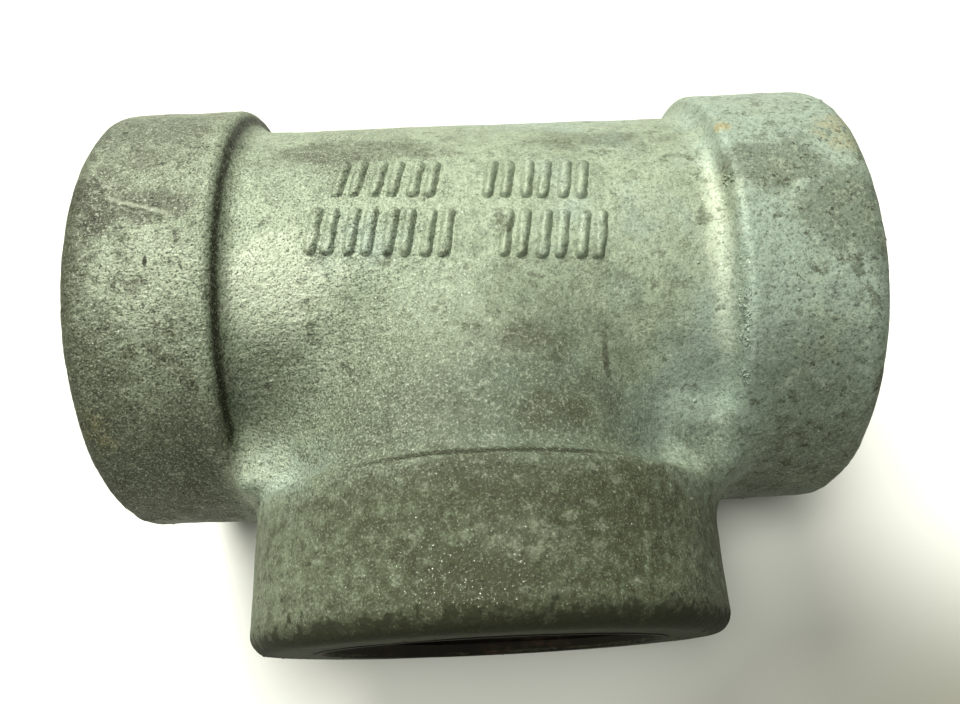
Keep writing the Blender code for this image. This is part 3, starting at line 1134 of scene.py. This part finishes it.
@dataclass
class MarkRow(MadeOnSkin):
    """One row of raised hatching on the barrel's top, where a foundry puts its marks."""

    name: str
    angle: float
    first_x: float
    count: int
    gap: int
    barrel_radius: float
    tilt: float = -0.055
    height: float = 6.4
    spacing: float = 4.7
    bar_offset: float = 1.06
    bar_half_width: float = 0.72
    slant: float = 0.16
    relief: float = 0.60
    sink: float = 0.20
    soft: float = 0.46
    clearance: float = 6.0
    cells_across: int = 24
    cells_up: int = 42
    unevenness: Pattern = Pattern(0.42, 3.0, 0.6)

    def inputs(self) -> dict[str, Any]:
        """Values of the tree's named inputs."""
        return named_inputs(
            self, "height", "spacing", "relief", "sink", "bar_offset", "bar_half_width", "slant", "soft",
            "barrel_radius", "first_x", "tilt", "count", "gap", "cells_across", "cells_up") | {
            "Clear Radius": self.barrel_radius + self.clearance, "Angle": math.radians(self.angle),
            "Crossing": tuple(self.crossing), "Material": self.material}

    def build(self) -> Piece:
        """Make the row.

        Returns:
            The row of hatched patches, each closed and sunk into the skin.
        """
        tool = NodesTool("mark_row", self.inputs())
        graph = tool.graph
        margin = tool["Soft"] * 2.2
        width = (tool["Bar Offset"] + tool["Bar Half Width"]) * 2
        block = graph.raw("GeometryNodeMeshCube", {}, {
            "Size": graph.join(width + margin, tool["Height"] + margin, 1.0),
            "Vertices X": tool["Cells Across"], "Vertices Y": tool["Cells Up"], "Vertices Z": 2})
        line = graph.raw("GeometryNodeMeshLine", {"mode": "OFFSET"}, {
            "Count": tool["Count"], "Start Location": graph.join(tool["First X"], 0.0, 0.0),
            "Offset": graph.join(tool["Spacing"], 0.0, 0.0)})
        index = graph.node("GeometryNodeInputIndex")
        kept = graph.node("GeometryNodeInstanceOnPoints", {}, {
            "Points": Term(graph, line.outputs[0]), "Instance": Term(graph, block.outputs[0]),
            "Selection": 1 - (abs(index - tool["Gap"]) < 0.5)})
        blocks = graph.node("GeometryNodeRealizeInstances", {}, {"Geometry": kept})

        here = graph.node("GeometryNodeInputPosition")
        x, y, z = graph.split(here)
        across = (((x - tool["First X"]) / tool["Spacing"] + 0.5).fraction() - 0.5) * tool["Spacing"]
        from_bar = abs(abs(across) - tool["Bar Offset"])
        past_end = (abs(y) - tool["Height"] / 2 + tool["Bar Half Width"]).at_least(0)
        rim = (from_bar ** 2 + past_end ** 2).root() - tool["Bar Half Width"]
        uneven = self.unevenness.read(graph, here) - 0.5
        bar = 1 - (rim + uneven * 0.9).ramp(0 - tool["Soft"] * 1.2, tool["Soft"])
        lift = bar * tool["Relief"] * (1 + uneven * 1.1) - tool["Sink"] * (1 - bar)
        bend = tool["Angle"] + (y + x * tool["Tilt"]) / tool["Barrel Radius"]
        along = x + y * tool["Slant"]
        hit = Term(graph, tool.ray_in(along, bend, 2 * self.clearance).outputs["Hit Distance"])
        top = z > 0
        out = tool["Clear Radius"] - hit / MM + lift * top - (1 - top) * tool["Sink"] * 5
        place = tool.placed(graph.join(along, out * bend.sin(), out * bend.cos()))
        moved = graph.node("GeometryNodeSetPosition", {}, {"Geometry": blocks, "Position": place})
        tool.close(graph.node("GeometryNodeStoreNamedAttribute", {"data_type": "FLOAT", "domain": "POINT"}, {
            "Geometry": moved, "Name": "hollow", "Value": (1 - abs(bar * 2 - 1)) * 0.7 + bar * 0.15}))
        piece = tool.run(self.name, self.skin.data)
        face_out(piece.data)
        return dress(piece, Slot.SKIN)


# --------------------------------------------------------------------------- zinc on the skin


@dataclass
class ZincPimples(MadeOnSkin):
    """Small beads of zinc frozen on the skin."""

    name: str = "zinc_pimples"
    per_square_metre: float = 26000.0
    smallest: float = 0.10
    largest: float = 0.30
    squash: float = 0.45
    seed: int = 11
    crowding: Pattern = Pattern(0.09, 2.0, 0.5)
    crowd_edge: Range = (0.45, 0.70)

    def build(self) -> Piece:
        """Scatter the beads.

        Returns:
            The beads as one mesh of separate closed blobs.
        """
        tool = NodesTool("zinc_pimples", named_inputs(self, "squash", "seed") | {
            "Density": self.per_square_metre, "Smallest": self.smallest * MM, "Largest": self.largest * MM,
            "Material": self.material})
        graph = tool.graph
        outside = graph.node("GeometryNodeInputNamedAttribute", {"data_type": "FLOAT"}, {"Name": "outside"})
        here = graph.scaled(graph.node("GeometryNodeInputPosition"), 1 / MM)
        crowd = self.crowding.read(graph, here).ramp(*self.crowd_edge)
        scatter = graph.raw("GeometryNodeDistributePointsOnFaces", {}, {
            "Mesh": tool.skin, "Density": tool["Density"] * outside * crowd, "Seed": tool["Seed"]})
        bead = graph.node("GeometryNodeMeshIcoSphere", {}, {"Radius": 1.0, "Subdivisions": 2})
        size = tool.chance(tool["Smallest"], tool["Largest"])
        scale = graph.join(size, size * 0.8, size * tool["Squash"])
        beads = graph.node("GeometryNodeInstanceOnPoints", {}, {
            "Points": Term(graph, scatter.outputs["Points"]), "Instance": bead,
            "Rotation": Term(graph, scatter.outputs["Rotation"]), "Scale": scale})
        tool.close(beads)
        return dress(tool.run(self.name, self.skin.data), Slot.SKIN)


@dataclass
class ShoulderFlecks(MadeOnSkin):
    """Zinc and sand flecks caught along the right band's shoulder."""

    shoulder_x: float
    radius: float
    name: str = "shoulder_flecks"
    first_angle: float = -46.0
    last_angle: float = 5.0
    count: int = 320
    wander: float = 0.42
    smallest: float = 0.06
    largest: float = 0.27
    clearance: float = 5.0
    seed: int = 4
    crowds: float = 9.0
    crowd_edge: Range = (0.40, 0.62)

    def build(self) -> Piece:
        """Lay the flecks along the shoulder.

        Returns:
            The flecks as one mesh.
        """
        tool = NodesTool("shoulder_flecks", named_inputs(
            self, "shoulder_x", "count", "wander", "smallest", "largest", "seed") | {
            "Clear Radius": self.radius + self.clearance, "First Angle": math.radians(self.first_angle),
            "Last Angle": math.radians(self.last_angle), "Crossing": tuple(self.crossing),
            "Material": self.material})
        graph = tool.graph
        line = graph.node("GeometryNodeMeshLine", {"mode": "OFFSET"}, {"Count": tool["Count"]})
        index = graph.node("GeometryNodeInputIndex")

        part = (index + tool.chance(-2.0, 2.0)) / tool["Count"]
        angle = tool["First Angle"] + (tool["Last Angle"] - tool["First Angle"]) * part
        crowd = graph.noise(graph.join(part * self.crowds, 0.5, 0.5), 1.0, 2.0).ramp(*self.crowd_edge)
        x = tool["Shoulder X"] + tool.chance(-1.0, 1.0, 1) * tool["Wander"] - (part - 0.5) * 0.25
        hit = tool.ray_in(x, angle, 3 * self.clearance)
        points = graph.node("GeometryNodeSetPosition", {}, {
            "Geometry": line, "Position": Term(graph, hit.outputs["Hit Position"])})
        fleck = graph.node("GeometryNodeMeshIcoSphere", {}, {"Radius": MM, "Subdivisions": 2})
        size = tool.chance(tool["Smallest"], tool["Largest"], 2) * (0.25 + 0.75 * crowd)
        scale = graph.join(size * 0.8, size * tool.chance(0.6, 2.0, 3), size * 0.55)
        turn = graph.join(0.0 - angle, tool.chance(-0.6, 0.6, 4), tool.chance(-1.2, 1.2, 5))
        tool.close(graph.node("GeometryNodeInstanceOnPoints", {}, {
            "Points": points, "Instance": fleck, "Rotation": turn, "Scale": scale}))
        return dress(tool.run(self.name, self.skin.data), Slot.SKIN)


# --------------------------------------------------------------------------- stage


@dataclass
class Stage:
    """Pale table, soft lights and the camera above and in front of the tee.

    The table's and the lamps' lengths are in metres, the camera's in millimetres.
    """

    table_size: float = 8.0
    table_colour: Triple = (0.60, 0.605, 0.55)
    table_roughness: float = 0.75
    painted_shadow_colour: Triple = (0.215, 0.215, 0.175)
    painted_shadow_centre: Triple = (0.080, -0.066, 0.0)
    painted_shadow_reach: Triple = (0.062, 0.042, 1.0)
    painted_shadow_edge: Range = (1.20, 0.25)
    camera_distance: float = 121.0
    camera_azimuth: float = -2.85
    camera_elevation: float = 66.6
    camera_roll: float = 0.19
    camera_shift: Range = (0.68, -6.6)
    lens: float = 29.1
    sensor: float = 36.0
    clip: Range = (0.005, 20.0)
    window_direction: Triple = (-0.32, 0.60, 0.73)
    window_strength: float = 4.7
    window_spread: float = 28.0
    ceiling_place: Triple = (-0.16, -0.10, 0.75)
    ceiling_size: float = 0.26
    ceiling_power: float = 4.0
    light_colour: Triple = (1.0, 1.0, 0.965)
    horizon: Triple = (0.52, 0.52, 0.50)
    zenith: Triple = (0.14, 0.14, 0.135)
    sky_edge: Range = (0.0, 0.45)

    def table(self) -> None:
        """Lay the table under the tee, with a soft painted shadow on it to the right of and in front of the tee."""
        bpy.ops.mesh.primitive_plane_add(size=self.table_size)
        table = bpy.context.active_object
        table.name = "table"
        material, graph, shader = new_material("pale_table")
        place = graph.node("ShaderNodeTexCoord", {}, {}, "Object")
        x, y, _ = graph.split(graph.vector("DIVIDE", graph.vector("SUBTRACT", place, self.painted_shadow_centre),
                                           self.painted_shadow_reach))
        # painted shadow: a soft darker patch on the table, to the right of and in front of the tee
        colour = graph.mix((x * x + y * y).root().ramp(*self.painted_shadow_edge), self.table_colour, self.painted_shadow_colour)
        feed(graph, shader, Base_Color=colour)
        shader.inputs["Roughness"].default_value = self.table_roughness
        table.data.materials.append(material)

    def hang(self, lamp: bpy.types.Light, offset: Vector, target: Vector) -> None:
        """Hang a lamp at an offset from the tee and aim it there."""
        lamp.color = self.light_colour
        holder = bpy.data.objects.new(lamp.name, lamp)
        holder.location = target + offset
        holder.rotation_euler = offset.to_track_quat("Z", "Y").to_euler()
        bpy.context.scene.collection.objects.link(holder)

    def light(self, target: Vector) -> None:
        """Light the tee from a wide window behind it, a ceiling panel and a soft sky."""
        window = bpy.data.lights.new("window", "SUN")
        window.energy, window.angle = self.window_strength, math.radians(self.window_spread)
        self.hang(window, Vector(self.window_direction), target)
        ceiling = bpy.data.lights.new("ceiling", "AREA")
        ceiling.size, ceiling.energy = self.ceiling_size, self.ceiling_power
        self.hang(ceiling, Vector(self.ceiling_place), target)
        world = bpy.data.worlds.new("soft_sky")
        world.use_nodes = True
        graph = Graph(world.node_tree)
        _, _, rise = graph.split(graph.node("ShaderNodeTexCoord", {}, {}, "Generated"))
        shade = graph.mix(rise.ramp(*self.sky_edge), self.horizon, self.zenith)
        graph.tree.links.new(shade.socket, world.node_tree.nodes["Background"].inputs["Color"])
        bpy.context.scene.world = world

    def camera(self, crossing: Vector) -> None:
        """Place the camera.

        Args:
            crossing: Where the axes cross, in metres.
        """
        azimuth, elevation = math.radians(self.camera_azimuth), math.radians(self.camera_elevation)
        back = Vector((math.sin(azimuth) * math.cos(elevation), -math.cos(azimuth) * math.cos(elevation),
                       math.sin(elevation)))
        right = Vector((0.0, 0.0, 1.0)).cross(back).normalized()
        up = back.cross(right)
        roll = Matrix.Rotation(math.radians(self.camera_roll), 3, back)
        right, up = roll @ right, roll @ up
        across, rise = self.camera_shift
        data = bpy.data.cameras.new("camera")
        data.lens, data.sensor_width = self.lens, self.sensor
        data.clip_start, data.clip_end = self.clip
        holder = bpy.data.objects.new("camera", data)
        holder.location = crossing + (back * self.camera_distance + right * across + up * rise) * MM
        holder.rotation_euler = Matrix((right, up, back)).transposed().to_euler()
        bpy.context.scene.collection.objects.link(holder)
        bpy.context.scene.camera = holder

    def build(self, crossing: Vector) -> None:
        """Make the whole stage.

        Args:
            crossing: Where the axes cross, in metres.
        """
        bpy.context.scene.view_settings.view_transform = "Standard"
        bpy.context.scene.view_settings.look = "Medium High Contrast"
        self.table()
        self.light(crossing)
        self.camera(crossing)


# --------------------------------------------------------------------------- assembly


@dataclass
class PipeTee:
    """The whole fitting, placed from the frame's own box."""

    low: Vector
    high: Vector
    mark_rows: tuple[tuple[str, float, float, int, int], ...] = (
        ("marks_upper", 10.5, -15.6, 7, 3), ("marks_lower", -6.5, -18.8, 8, 4))
    fleck_inset: float = 0.15

    @property
    def half_run(self) -> float:
        """Centre-to-end length in millimetres."""
        return (self.high.x - self.low.x) / 2 / MM

    @property
    def band_radius(self) -> float:
        """Outside radius of the bands in millimetres."""
        return (self.high.z - self.low.z) / 2 / MM

    @property
    def crossing(self) -> Vector:
        """Where the two pipe axes cross, in metres."""
        radius = self.band_radius * MM
        return Vector(((self.low.x + self.high.x) / 2, self.high.y - radius, self.low.z + radius))

    def build(self) -> None:
        """Make every piece in order."""
        zinc = GalvanisedFinish().build(self.crossing, self.half_run)
        iron = CutMetalFinish().build(self.crossing)
        casting = Casting(self.crossing, zinc, self.half_run, self.band_radius)
        skin = casting.build()
        for end in End:
            TappedMouth(self.crossing, iron, end, self.half_run).build()
        for row in self.mark_rows:
            MarkRow(self.crossing, zinc, skin, *row, casting.barrel_radius).build()
        ZincPimples(self.crossing, zinc, skin).build()
        shoulder = self.half_run - casting.band_width + self.fleck_inset
        ShoulderFlecks(self.crossing, zinc, skin, shoulder, self.band_radius).build()


def main() -> None:
    """Build the tee and its stage."""
    logging.basicConfig(level=logging.INFO, format="%(name)s %(message)s")
    tee = PipeTee(*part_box(CASTING_NODE))
    tee.build()
    Stage().build(tee.crossing)


if __name__ == "__main__":
    main()
